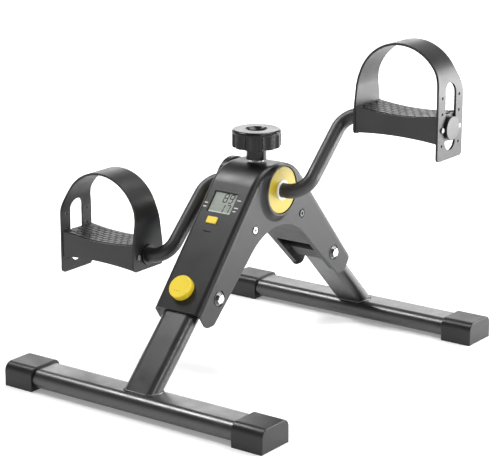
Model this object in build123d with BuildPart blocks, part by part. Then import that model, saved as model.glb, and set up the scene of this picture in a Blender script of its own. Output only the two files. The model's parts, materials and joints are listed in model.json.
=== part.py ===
from build123d import *
import os
from math import cos, radians, sin, sqrt, tan

# Folding pedal exerciser. Millimetres, +X to the user's right-hand crank side, -Y the display side, +Z up.
# The floor is Z = 0 and the crank axis crosses X = 0, Y = 0.

FRONT = -1
REAR = 1
LEFT = -1
RIGHT = 1
SIDE_NAMES = {FRONT: "front", REAR: "rear"}
HAND_NAMES = {LEFT: "left", RIGHT: "right"}
RUN_FIT = 0.05  # radial clearance of everything that turns or slides

# Foot bars and their caps
BAR_LENGTH = 400.0
BAR_TRACK = 476.0
TUBE_WIDTH = 50.0
TUBE_HEIGHT = 25.0
TUBE_WALL = 1.5
CAP_LENGTH = 44.5
CAP_WIDTH = 54.0
CAP_HEIGHT = 30.6
CAP_CROWN_RADIUS = 11.0
CAP_EDGE = 1.2
CAP_END_WALL = 3.5
BAR_Z = CAP_HEIGHT / 2

# Housing: an inverted V, 71 wide, with a sloping web front and rear
HOUSING_WIDTH = 71.0
WALL = 2.5
WEB_ANGLE = 49.4
WEB_FOOT_Y = 168.5
WEB_FOOT_Z = 112.0
HOUSING_TOP = 268.0
TOP_RADIUS = 58.0
WEB_CORNER = 8.0
ARM_DEPTH_BELOW = 20.0
ARM_END_Y = 154.4
ARM_END_Z = 91.0
ARM_END_RADIUS = 10.0
SOFFIT_ANGLE = 42.8
SOFFIT_FOOT_Y = 138.2
ARCH_RADIUS = 84.0
LEG_SLOT_WIDTH = 53.0
LEG_SLOT_TOP = 143.0
LEG_SLOT_INNER_Y = 60.0
COVER_FOOT_GAP = 8.0

# Hub and crank
HUB_Z = 236.0
HUB_FACE = 41.7
HUB_RADIUS = 33.4
HUB_RIM_X = 34.5
HUB_RECESS_RADIUS = 31.0
HUB_RECESS_DEPTH = 5.2
HUB_BORE = 25.0
HUB_FLARE_RADIUS = 45.0
HUB_FLARE_BULGE = 1.6
HUB_FLARE_DROP = 4.2
HUB_FLARE_INSET = 5.0
HUB_ROOT_X = 20.0
DISC_RADIUS = 30.3
DISC_THICKNESS = 4.2
DISC_EDGE = 1.0
DISC_BOSS_RADIUS = 14.2
BUSH_RADIUS = 11.2
BUSH_BACK = 9.0
BUSH_FLANGE_RADIUS = 12.8
BUSH_FLANGE = 1.4
CRANK_TUBE = 19.0
CRANK_WALL = 1.6
CRANK_THROW = 126.5
CRANK_ANGLE = 44.8
CRANK_BEND = 26.0
CRANK_ELBOW_X = 74.5
PEDAL_ELBOW_X = 76.5
DRUM_RADIUS = 13.5
DRUM_WIDTH = 24.0
COLLAR_X = 21.0
COLLAR_WIDTH = 6.0
MAGNET_RING_X = 14.0
MAGNET_RING_WIDTH = 6.0
MAGNET_RING_RADIUS = 17.0
MAGNET_RADIUS = 2.0
MAGNET_LENGTH = 2.6
MAGNET_SEAT = 3.0

# Pedals
STRAP_INNER_X = 106.5
PEDAL_LENGTH = 124.0
STRAP_WIDTH = 59.0
STRAP_ARCH_WIDTH = 43.0
STRAP_INNER_TAPER = (10.0, 60.0)
STRAP_OUTER_TAPER = (47.0, 70.0)
STRAP_TAPER_RADIUS = 30.0
STRAP_THICKNESS = 3.0
STRAP_ARCH_Z = 40.5
STRAP_INNER_FOOT = -18.5
STRAP_OUTER_FOOT = -39.0
STRAP_SLOT_WIDTH = 25.0
STRAP_SLOT_LOW = -28.0
STRAP_SLOT_HIGH = 57.0
STRAP_SLOT_REACH = 9.0
STRAP_HOLE_Y = 20.0
STRAP_HOLE_PITCH = 20.0
STRAP_HOLE_STEPS = (-1, 0, 1, 2)
STRAP_HOLE_RADIUS = 1.9
STRAP_CORNER = 5.0
STRAP_SCREW_RUN = 12.0
STRAP_SCREW_HEAD = 3.6
STRAP_SCREW_HEAD_HEIGHT = 2.0
STRAP_SCREW_EDGE = 1.0
STRAP_BUSH_RADIUS = 13.8
SCREW_BOSS_RADIUS = 4.0
SCREW_BOSS_LENGTH = 12.0
SCREW_HOLE_DEPTH = 10.0
TREAD_WIDTH = 57.0
TREAD_TOP = 17.2
TREAD_SAG = 4.6
TREAD_BOTTOM = -16.5
TREAD_ARCH = 3.2
TREAD_WALL = 2.6
TREAD_RIBS = 4
TREAD_RIB = 2.0
TREAD_RIB_GAP = 1.5
SPINDLE_ROOM_RADIUS = 10.3
PEDAL_BUSH_RADIUS = 11.6
PEDAL_BUSH_LENGTH = 14.0
PEDAL_BUSH_WALL = 2.0
BUSH_COLLAR_RADIUS = 13.5
BUSH_COLLAR = 2.0
GRIP_HEIGHT = 0.7
GRIP_ROOT = 1.2
GRIP_ROWS = 7
GRIP_COLUMNS = 10
GRIP_PITCH_X = 10.6
GRIP_PITCH_Y = 7.4
GRIP_GAP_X = 1.6
GRIP_GAP_Y = 1.4
GRIP_MARGIN_X = 3.0
GRIP_MARGIN_Y = 2.5
AXLE_CAP_RADIUS = 15.0
AXLE_CAP_THICKNESS = 3.6
AXLE_CAP_GAP = 0.4
AXLE_CAP_PLUG = 15.0
AXLE_CAP_EDGE = 0.8

# Fold pivots and legs
PIVOT_Y = 127.5
PIVOT_Z = 123.0
PIVOT_BOLT_RADIUS = 4.0
PIVOT_BUSH_RADIUS = 6.0
PIVOT_SPACER_RADIUS = 7.0
PIVOT_SPACER_GAP = 0.3
PIVOT_WASHER = 1.2
PIVOT_WASHER_RADIUS = 8.9
PIVOT_HEAD_RADIUS = 6.6
PIVOT_HEAD_HEIGHT = 4.2
PIVOT_THREAD_END = 6.0
DIMPLE_RADIUS = 10.5
DIMPLE_DEPTH = 1.4
LEG_ANGLE = 45.0
LEG_WIDTH = 49.0
LEG_THICKNESS = 22.0
LEG_OFFSET = 7.0
LEG_START = 14.0
LEG_RUN = 165.0
KNUCKLE_RADIUS = LEG_OFFSET + LEG_THICKNESS / 2
KNUCKLE_EAR = 10.0
KNUCKLE_EAR_RUN = 6.0
KNUCKLE_SPIGOT = 45.0
FOLD_ANGLE = 90.0

# Cross screws between the side plates
CROSS_Y = 51.4
CROSS_Z = 193.4
CROSS_RADIUS = 2.5
CROSS_SPACER_RADIUS = 4.5
CROSS_HEAD = 4.6
CROSS_HEAD_HEIGHT = 2.0
CROSS_HEAD_EDGE = 0.7
CROSS_SOCKET = 2.2
CROSS_SOCKET_DEPTH = 1.4
CROSS_DIMPLE = 6.4
CROSS_SEAT = 1.2

# Fold lock buttons on the webs
LOCK_ALONG = 29.0
LOCK_X = -3.5
LOCK_RADIUS = 15.6
LOCK_PROUD = 7.2
LOCK_CROWN = 1.4
LOCK_CROWN_TAPER = 30.0
LOCK_ROOF = 2.5
LOCK_SKIRT_WALL = 1.8
LOCK_SKIRT_DEPTH = 0.1
LOCK_OPENING_RADIUS = 15.95
LOCK_CUP_RADIUS = 18.0
LOCK_CUP_FLOOR = 1.0
LOCK_STEM_RADIUS = 4.6
LOCK_TIP_DEPTH = 4.5
LOCK_RING_RADIUS = 5.4
LOCK_RING_DEPTH = 3.6
LOCK_RING_THICKNESS = 0.8
LOCK_GROOVE_RADIUS = 3.8
LOCK_SPRING_RADIUS = 8.0
LOCK_SPRING_WIRE = 0.5
LOCK_SPRING_TURNS = 4
LOCK_POCKET_RADIUS = 6.0
LOCK_POCKET_DEPTH = 6.5

# Counter on the front web: depths are measured in from the web's outer face
WINDOW_X = -2.5
WINDOW_ALONG = 152.5
WINDOW_WIDTH = 36.0
WINDOW_HEIGHT = 30.0
WINDOW_TOP = 0.5
WINDOW_BACK = 2.0
LCD_BACK = 4.2
MODE_X = -6.0
MODE_ALONG = 126.4
MODE_WIDTH = 15.4
MODE_HEIGHT = 9.2
MODE_GAP = 0.15
MODE_CORNER = 1.0
MODE_FOOT = 3.0
MODE_PROUD = 1.6
SWITCH_TOP = 4.0
SWITCH_SIZE = 6.0
PRY_SLOT_ALONG = 110.2
PRY_SLOT_LENGTH = 12.0
PRY_SLOT_WIDTH = 1.4
PRY_SLOT_DEPTH = 1.2
CASE_ALONG = 142.0
CASE_WIDTH = 48.0
CASE_HEIGHT = 62.0
CASE_DEPTH = 11.0
CASE_WALL = 2.0
CASE_EAR_RADIUS = 3.6
CASE_EAR = 4.0
CASE_EARS = [(14.0, -34.0), (-14.0, 34.0)]
CASE_SCREW_RADIUS = 1.2
CASE_SCREW_TIP = 1.2
CASE_SCREW_HEAD = 2.6
CASE_SCREW_HEAD_HEIGHT = 1.6
BOARD_TOP = 6.2
BOARD_BACK = 7.8
CELL_RADIUS = 5.8
CELL_HEIGHT = 3.2
REED_X = 13.0
REED_Y = -25.0
REED_WIDTH = 12.0
REED_HEIGHT = 14.0

# Tension knob and brake
KNOB_TOP = 310.5
KNOB_RADIUS = 31.4
KNOB_HEAD = 23.0
KNOB_TOP_EDGE = 3.4
KNOB_FOOT_EDGE = 2.0
KNOB_NECK_RADIUS = 13.0
KNOB_NECK_FOOT = 271.2
KNOB_FLUTES = 12
KNOB_FLUTE_RADIUS = 8.0
KNOB_FLUTE_DEPTH = 3.0
KNOB_FLUTE_TOP = 5.0
KNOB_DISH_RADIUS = 14.6
KNOB_DISH_DEPTH = 5.8
SCREW_RADIUS = 4.0
SCREW_TOP = 300.0
INSERT_RADIUS = 7.0
INSERT_FLANGE_RADIUS = 10.0
INSERT_FLANGE = 0.5
BRAKE_TRAVEL = 2.5
PAD_THICKNESS = 2.4
PAD_INSET = 1.0
SHOE_THICKNESS = 4.4
SHOE_X = 24.0
SHOE_Y = 28.0
SHOE_GAP = 0.3
GUIDE_WALL = 4.0
DRUM_CLEAR = 0.4
SHOE_TOP = HUB_Z + DRUM_RADIUS + DRUM_CLEAR + BRAKE_TRAVEL + PAD_THICKNESS + SHOE_THICKNESS
SHOE_POCKET_TOP = SHOE_TOP + 0.4
SHOE_GUIDE_FOOT = SHOE_TOP - SHOE_THICKNESS - 1.0

# Worked out from the dimensions above
HALF_WIDTH = HOUSING_WIDTH / 2
INNER_HALF_WIDTH = HALF_WIDTH - WALL
LEG_COS = cos(radians(LEG_ANGLE))
LEG_SIN = sin(radians(LEG_ANGLE))
WEB_COS = cos(radians(WEB_ANGLE))
WEB_SIN = sin(radians(WEB_ANGLE))
CRANK_Y = CRANK_THROW * cos(radians(CRANK_ANGLE))
CRANK_Z = CRANK_THROW * sin(radians(CRANK_ANGLE))
WEB_PEAK_Z = WEB_FOOT_Z + WEB_FOOT_Y * tan(radians(WEB_ANGLE))
SOFFIT_PEAK_Z = ARM_END_Z + SOFFIT_FOOT_Y * tan(radians(SOFFIT_ANGLE))
PEDAL_END_X = STRAP_INNER_X + PEDAL_LENGTH
CRANK_END_X = PEDAL_END_X - 1.0
PIVOT_SEAT = HALF_WIDTH - DIMPLE_DEPTH + PIVOT_WASHER
BUSH_SEAT_X = HUB_FACE - HUB_RECESS_DEPTH

os.makedirs("parts", exist_ok=True)


def save(part, name):
    """Label one finished piece and write its STEP file."""
    part.label = name
    export_step(part, f"parts/{name}.step")


def web_plane(side, along, x=0.0):
    """Plane on a web's outer face: local x across, local y up the slope, z out of the housing."""
    origin = (x, side * (WEB_FOOT_Y - along * WEB_COS), WEB_FOOT_Z + along * WEB_SIN)
    return Plane(origin=origin, x_dir=(-side, 0, 0), z_dir=(0, side * WEB_SIN, WEB_COS))


def leg_side_plane(side):
    """Side view of a leg through its pivot: local x down the leg, local y towards the web."""
    origin = (0, side * PIVOT_Y, PIVOT_Z)
    return Plane(origin=origin, x_dir=(0, side * LEG_COS, -LEG_SIN), z_dir=(side, 0, 0))


def leg_section_plane(side, down):
    """Plane square to a leg, a distance down from its pivot, with local x along X."""
    origin = (0, side * (PIVOT_Y + down * LEG_COS), PIVOT_Z - down * LEG_SIN)
    return Plane(origin=origin, x_dir=(1, 0, 0), z_dir=(0, side * LEG_COS, -LEG_SIN))


def disc_x(x, y, z, radius, length, mode=Mode.ADD):
    """A cylinder along X that starts at x."""
    with BuildPart(mode=Mode.PRIVATE) as cylinder:
        with BuildSketch(Plane.YZ.offset(x)):
            with Locations((y, z)):
                Circle(radius)
        extrude(amount=length)
    add(cylinder.part, mode=mode)


# ---------------------------------------------------------------- housing


def web_height(y, inset):
    """Height of a web's face at a distance from the middle, set in by a wall."""
    return WEB_PEAK_Z - inset / WEB_COS - y * tan(radians(WEB_ANGLE))


def crown_corners(inset):
    """The two corners where the webs meet the crown, set in by a wall."""
    top = HOUSING_TOP - inset
    top_y = (web_height(0, inset) - top) / tan(radians(WEB_ANGLE))
    return [(-top_y, top), (top_y, top)]


def housing_outline(x):
    """Side view of the closed housing at X = x: webs, crown and rounded arm ends."""
    crown = crown_corners(0)
    feet = [(WEB_FOOT_Y, WEB_FOOT_Z), (ARM_END_Y, ARM_END_Z), (-ARM_END_Y, ARM_END_Z)]
    corners = crown + feet + [(-WEB_FOOT_Y, WEB_FOOT_Z)]
    radii = [TOP_RADIUS, TOP_RADIUS, 0, ARM_END_RADIUS, ARM_END_RADIUS, 0]
    with BuildSketch(Plane.YZ.offset(x)) as outline:
        with BuildLine():
            FilletPolyline(*corners, radius=radii, close=True)
        make_face()
    return outline.sketch


def inset_outline(x, inset):
    """The space under the webs and crown at X = x, set in from them, down past the arm ends."""
    low_z = ARM_END_Z - ARM_DEPTH_BELOW
    low_y = (web_height(0, inset) - low_z) / tan(radians(WEB_ANGLE))
    with BuildSketch(Plane.YZ.offset(x)) as outline:
        with BuildLine():
            top_points = crown_corners(inset)
            FilletPolyline((-low_y, low_z), *top_points, (low_y, low_z), radius=TOP_RADIUS - inset)
            Line((low_y, low_z), (-low_y, low_z))
        make_face()
    return outline.sketch


def arch_outline(x):
    """The open arch between the arms at X = x."""
    foot = SOFFIT_FOOT_Y
    low_z = ARM_END_Z - ARM_DEPTH_BELOW
    with BuildSketch(Plane.YZ.offset(x)) as outline:
        with BuildLine():
            FilletPolyline((-foot, ARM_END_Z), (0, SOFFIT_PEAK_Z), (foot, ARM_END_Z), radius=ARCH_RADIUS)
            Polyline((foot, ARM_END_Z), (foot, low_z), (-foot, low_z), (-foot, ARM_END_Z))
        make_face()
    return outline.sketch


def is_web_edge(edge):
    """True for the long edges of the webs and crown on both sides."""
    centre = edge.center()
    return centre.Z > WEB_FOOT_Z + 1 and abs(centre.X) > 1


def is_toe_edge(edge):
    """True for the cross edges at the inner corners of the arm ends."""
    centre = edge.center()
    return abs(abs(centre.Y) - SOFFIT_FOOT_Y) < 1 and abs(centre.Z - ARM_END_Z) < 1


with BuildPart() as body_shell:
    extrude(housing_outline(-HALF_WIDTH), amount=HOUSING_WIDTH)
    fillet(body_shell.edges().filter_by(is_web_edge), WEB_CORNER)
    extrude(arch_outline(-HALF_WIDTH), amount=HOUSING_WIDTH, mode=Mode.SUBTRACT)
    fillet(body_shell.edges().filter_by(Axis.X).filter_by(is_toe_edge), ARM_END_RADIUS - 1)
    # Hub bosses, each with a flare into the side plate that stops short of the crown's rounded edge
    flare_room = extrude(inset_outline(-HUB_FACE, HUB_FLARE_INSET), 2 * HUB_FACE, mode=Mode.PRIVATE)
    for hand in (LEFT, RIGHT):
        with BuildSketch(Plane.XZ):
            with BuildLine():
                flare_top = (hand * HUB_FACE, HUB_Z - HUB_RADIUS)
                flare_foot = (hand * HALF_WIDTH, HUB_Z - HUB_FLARE_RADIUS)
                flare_bulge = hand * (HALF_WIDTH + HUB_FLARE_BULGE)
                flare_mid = (flare_bulge, HUB_Z - HUB_RADIUS - HUB_FLARE_DROP)
                ThreePointArc(flare_foot, flare_mid, flare_top)
                root_x = hand * HUB_ROOT_X
                Polyline(flare_top, (hand * HUB_FACE, HUB_Z), (root_x, HUB_Z))
                Polyline((root_x, HUB_Z), (root_x, flare_foot[1]), flare_foot)
            make_face()
        flare = revolve(axis=Axis((0, 0, HUB_Z), (1, 0, 0)), mode=Mode.PRIVATE)
        add(flare & flare_room)
        disc_x(hand * HUB_RIM_X, 0, HUB_Z, HUB_RADIUS, hand * (HUB_FACE - HUB_RIM_X))
    # Hollow inside, open along the soffit and the arm ends
    with BuildPart(mode=Mode.PRIVATE) as hollow:
        extrude(inset_outline(-INNER_HALF_WIDTH, WALL), amount=2 * INNER_HALF_WIDTH)
        fillet(hollow.edges().filter_by(is_web_edge), WEB_CORNER - WALL)
    add(hollow.part, mode=Mode.SUBTRACT)
    # Guide block for the brake shoe under the crown
    with BuildSketch(Plane.XY.offset(SHOE_GUIDE_FOOT)):
        Rectangle(SHOE_X + 2 * GUIDE_WALL, SHOE_Y + 2 * GUIDE_WALL)
        Rectangle(SHOE_X + 2 * SHOE_GAP, SHOE_Y + 2 * SHOE_GAP, mode=Mode.SUBTRACT)
    extrude(amount=SHOE_POCKET_TOP - SHOE_GUIDE_FOOT)
    with BuildSketch(Plane.XY.offset(SHOE_POCKET_TOP)):
        Rectangle(SHOE_X + 2 * GUIDE_WALL, SHOE_Y + 2 * GUIDE_WALL)
    extrude(amount=HOUSING_TOP - 1 - SHOE_POCKET_TOP)
    with BuildSketch(Plane.XY.offset(SHOE_POCKET_TOP)):
        Circle(INSERT_RADIUS)
    extrude(amount=HOUSING_TOP - SHOE_POCKET_TOP, mode=Mode.SUBTRACT)
    # Hub recesses for the discs and the openings behind them
    for hand in (LEFT, RIGHT):
        face = hand * HUB_FACE
        disc_x(face, 0, HUB_Z, HUB_RECESS_RADIUS, -hand * HUB_RECESS_DEPTH, Mode.SUBTRACT)
        disc_x(face, 0, HUB_Z, HUB_BORE, hand * (HUB_ROOT_X - HUB_FACE), Mode.SUBTRACT)
    for side in (FRONT, REAR):
        # Pivot holes in round dimples, and the cross screw holes higher up
        disc_x(-HALF_WIDTH, side * PIVOT_Y, PIVOT_Z, PIVOT_BOLT_RADIUS, HOUSING_WIDTH, Mode.SUBTRACT)
        disc_x(-HALF_WIDTH, side * CROSS_Y, CROSS_Z, CROSS_RADIUS, HOUSING_WIDTH, Mode.SUBTRACT)
        for hand in (LEFT, RIGHT):
            edge_x = hand * HALF_WIDTH
            disc_x(edge_x, side * PIVOT_Y, PIVOT_Z, DIMPLE_RADIUS, -hand * DIMPLE_DEPTH, Mode.SUBTRACT)
            disc_x(edge_x, side * CROSS_Y, CROSS_Z, CROSS_DIMPLE, -hand * CROSS_SEAT, Mode.SUBTRACT)
        # Opening for the lock button, with a cup floor behind it and a hole for the stem
        lock_face = web_plane(side, LOCK_ALONG, LOCK_X)
        with BuildSketch(lock_face):
            Circle(LOCK_CUP_RADIUS)
        extrude(amount=-WALL - LOCK_CUP_FLOOR)
        with BuildSketch(lock_face):
            Circle(LOCK_OPENING_RADIUS)
        extrude(amount=-WALL, mode=Mode.SUBTRACT)
        with BuildSketch(lock_face):
            Circle(LOCK_STEM_RADIUS + RUN_FIT)
        extrude(amount=-WALL - LOCK_CUP_FLOOR, mode=Mode.SUBTRACT)
    # Window, mode button hole and pry slot in the front web
    with BuildSketch(web_plane(FRONT, WINDOW_ALONG, WINDOW_X)):
        RectangleRounded(WINDOW_WIDTH, WINDOW_HEIGHT, MODE_CORNER)
    extrude(amount=-WALL, mode=Mode.SUBTRACT)
    with BuildSketch(web_plane(FRONT, MODE_ALONG, MODE_X)):
        RectangleRounded(MODE_WIDTH + 2 * MODE_GAP, MODE_HEIGHT + 2 * MODE_GAP, MODE_CORNER + MODE_GAP)
    extrude(amount=-WALL, mode=Mode.SUBTRACT)
    with BuildSketch(web_plane(FRONT, PRY_SLOT_ALONG, MODE_X)):
        SlotOverall(PRY_SLOT_LENGTH, PRY_SLOT_WIDTH)
    extrude(amount=-PRY_SLOT_DEPTH, mode=Mode.SUBTRACT)
    # Blind holes for the two screws of the counter's case
    for ear_x, ear_up in CASE_EARS:
        with BuildSketch(web_plane(FRONT, CASE_ALONG + ear_up, WINDOW_X + ear_x).offset(-WALL)):
            Circle(CASE_SCREW_RADIUS)
        extrude(amount=WALL - CASE_SCREW_TIP, mode=Mode.SUBTRACT)
save(body_shell.part, "body_shell")

with BuildPart() as under_cover:
    with BuildSketch(Plane.YZ.offset(-INNER_HALF_WIDTH)):
        with BuildLine():
            cover_rise = WALL / cos(radians(SOFFIT_ANGLE))
            foot_y = SOFFIT_FOOT_Y - COVER_FOOT_GAP
            foot_z = ARM_END_Z + COVER_FOOT_GAP * tan(radians(SOFFIT_ANGLE))
            peak_low = (0, SOFFIT_PEAK_Z)
            peak_high = (0, SOFFIT_PEAK_Z + cover_rise)
            FilletPolyline((-foot_y, foot_z), peak_low, (foot_y, foot_z), radius=ARCH_RADIUS)
            Line((foot_y, foot_z), (foot_y, foot_z + cover_rise))
            high_foot = foot_z + cover_rise
            FilletPolyline((foot_y, high_foot), peak_high, (-foot_y, high_foot), radius=ARCH_RADIUS + WALL)
            Line((-foot_y, high_foot), (-foot_y, foot_z))
        make_face()
    extrude(amount=2 * INNER_HALF_WIDTH)
    # A slot for each leg, open at its foot, with two side rails left
    for side in (FRONT, REAR):
        with BuildSketch(Plane.XY.offset(LEG_SLOT_TOP)):
            with Locations((0, side * SOFFIT_FOOT_Y)):
                Rectangle(LEG_SLOT_WIDTH, 2 * (SOFFIT_FOOT_Y - LEG_SLOT_INNER_Y))
        extrude(amount=ARM_END_Z - LEG_SLOT_TOP, mode=Mode.SUBTRACT)
save(under_cover.part, "under_cover")

# Fold pivots: bolts, nuts, washers and spacers, one of each kind front and rear
with BuildPart() as pivot_bolts:
    for side in (FRONT, REAR):
        pivot = (side * PIVOT_Y, PIVOT_Z)
        disc_x(-PIVOT_SEAT - PIVOT_THREAD_END, *pivot, PIVOT_BOLT_RADIUS, 2 * PIVOT_SEAT + PIVOT_THREAD_END)
        with BuildSketch(Plane.YZ.offset(PIVOT_SEAT)):
            with Locations(pivot):
                RegularPolygon(PIVOT_HEAD_RADIUS, 6)
        extrude(amount=PIVOT_HEAD_HEIGHT)
    chamfer(pivot_bolts.faces().group_by(Axis.X)[-1].edges(), 1.0)
save(pivot_bolts.part, "pivot_bolts")

with BuildPart() as pivot_nuts:
    for side in (FRONT, REAR):
        with BuildSketch(Plane.YZ.offset(-PIVOT_SEAT)):
            with Locations((side * PIVOT_Y, PIVOT_Z)):
                RegularPolygon(PIVOT_HEAD_RADIUS, 6)
                Circle(PIVOT_BOLT_RADIUS, mode=Mode.SUBTRACT)
        extrude(amount=-PIVOT_HEAD_HEIGHT)
save(pivot_nuts.part, "pivot_nuts")

with BuildPart() as pivot_washers:
    for side in (FRONT, REAR):
        for hand in (LEFT, RIGHT):
            start = hand * (PIVOT_SEAT - PIVOT_WASHER)
            disc_x(start, side * PIVOT_Y, PIVOT_Z, PIVOT_WASHER_RADIUS, hand * PIVOT_WASHER)
    for side in (FRONT, REAR):
        disc_x(-HALF_WIDTH, side * PIVOT_Y, PIVOT_Z, PIVOT_BOLT_RADIUS, HOUSING_WIDTH, Mode.SUBTRACT)
save(pivot_washers.part, "pivot_washers")

with BuildPart() as pivot_spacers:
    for side in (FRONT, REAR):
        for hand in (LEFT, RIGHT):
            start = LEG_WIDTH / 2 + PIVOT_SPACER_GAP
            span = INNER_HALF_WIDTH - start
            disc_x(hand * start, side * PIVOT_Y, PIVOT_Z, PIVOT_SPACER_RADIUS, hand * span)
    for side in (FRONT, REAR):
        disc_x(-HALF_WIDTH, side * PIVOT_Y, PIVOT_Z, PIVOT_BOLT_RADIUS, HOUSING_WIDTH, Mode.SUBTRACT)
save(pivot_spacers.part, "pivot_spacers")

# Cross screws that tie the side plates together, with a spacer tube on each
with BuildPart() as cross_spacers:
    for side in (FRONT, REAR):
        cross = (side * CROSS_Y, CROSS_Z)
        disc_x(-INNER_HALF_WIDTH, *cross, CROSS_SPACER_RADIUS, 2 * INNER_HALF_WIDTH)
        disc_x(-INNER_HALF_WIDTH, *cross, CROSS_RADIUS, 2 * INNER_HALF_WIDTH, Mode.SUBTRACT)
save(cross_spacers.part, "cross_spacers")

for side in (FRONT, REAR):
    with BuildPart() as cross_screw:
        cross = (side * CROSS_Y, CROSS_Z)
        disc_x(-HALF_WIDTH + CROSS_SEAT, *cross, CROSS_RADIUS, HOUSING_WIDTH - 2 * CROSS_SEAT)
        for hand in (LEFT, RIGHT):
            disc_x(hand * (HALF_WIDTH - CROSS_SEAT), *cross, CROSS_HEAD, hand * CROSS_HEAD_HEIGHT)
        rims = cross_screw.edges().filter_by(GeomType.CIRCLE).group_by(Axis.X)
        fillet(rims[0] + rims[-1], CROSS_HEAD_EDGE)
        with BuildSketch(Plane.YZ.offset(HALF_WIDTH - CROSS_SEAT + CROSS_HEAD_HEIGHT)):
            with Locations(cross):
                RegularPolygon(CROSS_SOCKET, 6)
        extrude(amount=-CROSS_SOCKET_DEPTH, mode=Mode.SUBTRACT)
    save(cross_screw.part, f"{SIDE_NAMES[side]}_cross_screw")

# Hub discs and crank bushes
for hand in (LEFT, RIGHT):
    seat_x = hand * BUSH_SEAT_X
    with BuildPart() as hub_disc:
        disc_x(seat_x, 0, HUB_Z, DISC_RADIUS, hand * DISC_THICKNESS)
        rim = hub_disc.edges().filter_by(GeomType.CIRCLE).sort_by(Axis.X)
        fillet(rim[-1] if hand == RIGHT else rim[0], DISC_EDGE)
        disc_x(seat_x, 0, HUB_Z, DISC_BOSS_RADIUS, -hand * BUSH_BACK)
        bore_end = seat_x + hand * DISC_THICKNESS
        disc_x(bore_end, 0, HUB_Z, BUSH_RADIUS, -hand * (DISC_THICKNESS + BUSH_BACK), Mode.SUBTRACT)
    save(hub_disc.part, f"{HAND_NAMES[hand]}_hub_disc")

with BuildPart() as crank_bushes:
    for hand in (LEFT, RIGHT):
        back_x = hand * (BUSH_SEAT_X - BUSH_BACK)
        front_x = hand * (BUSH_SEAT_X + DISC_THICKNESS)
        disc_x(back_x, 0, HUB_Z, BUSH_RADIUS, front_x - back_x)
        disc_x(front_x, 0, HUB_Z, BUSH_FLANGE_RADIUS, hand * BUSH_FLANGE)
    bore_end = BUSH_SEAT_X + DISC_THICKNESS + BUSH_FLANGE
    disc_x(-bore_end, 0, HUB_Z, CRANK_TUBE / 2 + RUN_FIT, 2 * bore_end, Mode.SUBTRACT)
save(crank_bushes.part, "crank_bushes")

# ---------------------------------------------------------------- fold lock buttons

for side in (FRONT, REAR):
    name = SIDE_NAMES[side]
    lock_face = web_plane(side, LOCK_ALONG, LOCK_X)
    roof_foot = LOCK_PROUD + LOCK_CROWN - LOCK_ROOF
    with BuildPart() as lock_button:
        with BuildSketch(lock_face.offset(-LOCK_SKIRT_DEPTH)):
            Circle(LOCK_RADIUS)
        extrude(amount=LOCK_SKIRT_DEPTH + LOCK_PROUD)
        with BuildSketch(lock_face.offset(LOCK_PROUD)):
            Circle(LOCK_RADIUS)
        extrude(amount=LOCK_CROWN, taper=LOCK_CROWN_TAPER)
        # Hollow cap with the stem down its middle, grooved for the ring
        with BuildSketch(lock_face.offset(-LOCK_SKIRT_DEPTH)):
            Circle(LOCK_RADIUS - LOCK_SKIRT_WALL)
        extrude(amount=LOCK_SKIRT_DEPTH + roof_foot, mode=Mode.SUBTRACT)
        with BuildSketch(lock_face.offset(-LOCK_TIP_DEPTH)):
            Circle(LOCK_STEM_RADIUS)
        extrude(amount=LOCK_TIP_DEPTH + roof_foot)
        with BuildSketch(lock_face.offset(-LOCK_RING_DEPTH)):
            Circle(LOCK_RING_RADIUS)
            Circle(LOCK_GROOVE_RADIUS, mode=Mode.SUBTRACT)
        extrude(amount=-LOCK_RING_THICKNESS, mode=Mode.SUBTRACT)
    save(lock_button.part, f"{name}_lock_button")
    with BuildPart() as lock_ring:
        with BuildSketch(lock_face.offset(-LOCK_RING_DEPTH)):
            Circle(LOCK_RING_RADIUS)
            Circle(LOCK_GROOVE_RADIUS, mode=Mode.SUBTRACT)
        extrude(amount=-LOCK_RING_THICKNESS)
    save(lock_ring.part, f"{name}_lock_ring")
    with BuildPart() as lock_spring:
        spring_room = WALL + roof_foot - 3 * LOCK_SPRING_WIRE
        with BuildLine() as spring_path:
            Helix(pitch=spring_room / LOCK_SPRING_TURNS, height=spring_room, radius=LOCK_SPRING_RADIUS)
        with BuildSketch(Plane(origin=spring_path.line @ 0, z_dir=spring_path.line % 0)):
            Circle(LOCK_SPRING_WIRE)
        sweep()
    spring_seat = lock_face.offset(1.5 * LOCK_SPRING_WIRE - WALL)
    save(spring_seat.location * lock_spring.part, f"{name}_lock_spring")

# ---------------------------------------------------------------- legs

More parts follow.
